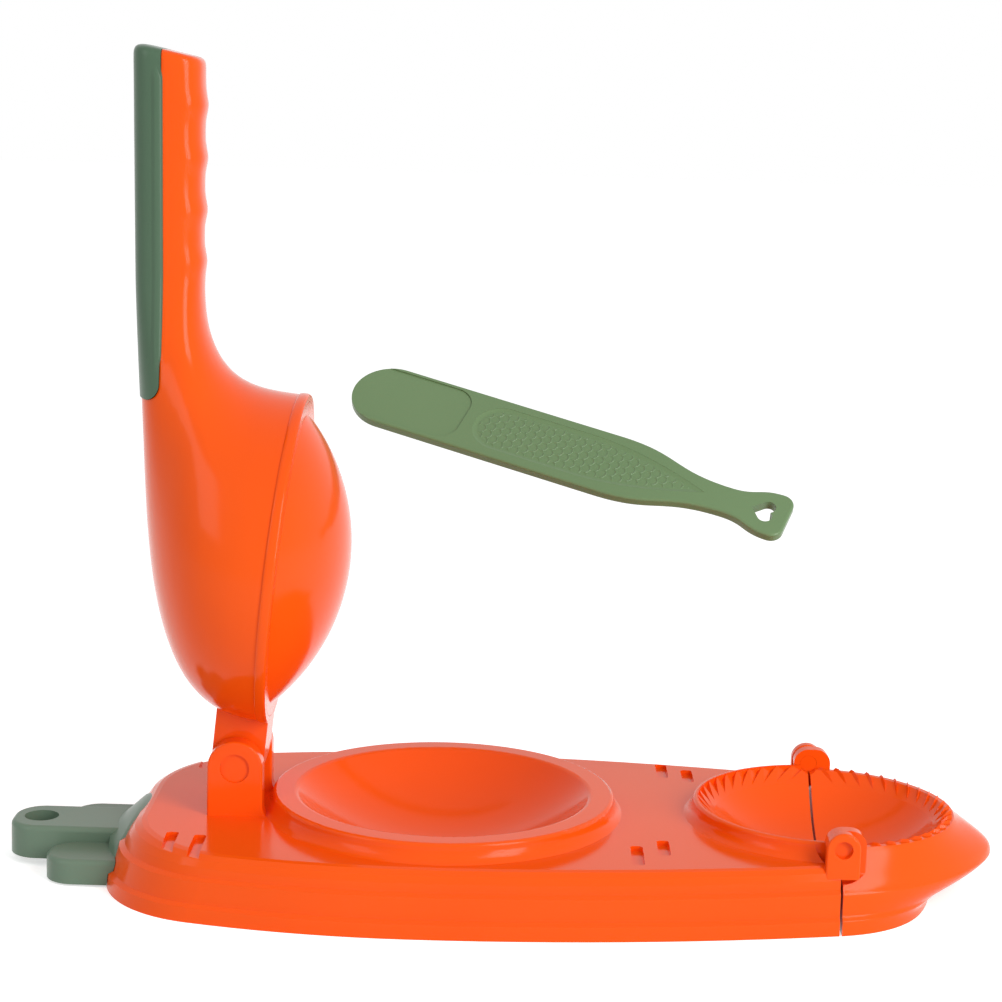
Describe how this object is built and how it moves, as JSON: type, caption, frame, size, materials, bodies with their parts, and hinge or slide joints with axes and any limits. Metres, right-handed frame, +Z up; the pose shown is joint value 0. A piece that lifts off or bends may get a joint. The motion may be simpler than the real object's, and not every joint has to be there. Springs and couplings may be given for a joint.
{
  "type": "dumpling maker",
  "caption": "Carrot-shaped dumpling maker: a tray with a pressing dish, a hinged press arm, a folding pleating mould, a leaf with a hanging hole and a loose filling spatula.",
  "frame": {"origin": "on the table under the middle of the pressing dish", "axes": "+X along the tray from the leaf to the nose of the folding mould, +Y away from the camera, +Z up"},
  "size_m": [0.3164, 0.1864, 0.2599],
  "materials": {
    "orange_plastic": "glossy moulded polypropylene",
    "green_plastic": "satin moulded polypropylene",
    "spatula_plastic": "satin moulded polypropylene"
  },
  "bodies": {
    "base": {"base_shell": "orange_plastic", "leaf_tail": "green_plastic", "arm_hinge_pin": "orange_plastic", "mould_hinge_pin_front": "orange_plastic", "mould_hinge_pin_rear": "orange_plastic"},
    "arm": {"press_arm": "orange_plastic", "press_dome": "orange_plastic", "handle_cover": "green_plastic"},
    "flap": {"mould_flap": "orange_plastic"},
    "loose_spatula": {"spatula": "spatula_plastic"}
  },
  "joints": [
    {"name": "arm_hinge", "type": "hinge", "parent": "base", "child": "arm", "pos_m": [-0.0656, 0, 0.036], "axis": [0, 1, 0], "range_deg": [0, 84.4]},
    {"name": "mould_hinge", "type": "hinge", "parent": "base", "child": "flap", "pos_m": [0.1228, 0, 0.0262], "axis": [0, -1, 0], "range_deg": [0, 180]},
    {"name": "spatula_lift", "type": "slide", "parent": "base", "child": "loose_spatula", "axis": [0, 0, 1], "range_m": [0, 0.2]}
  ]
}
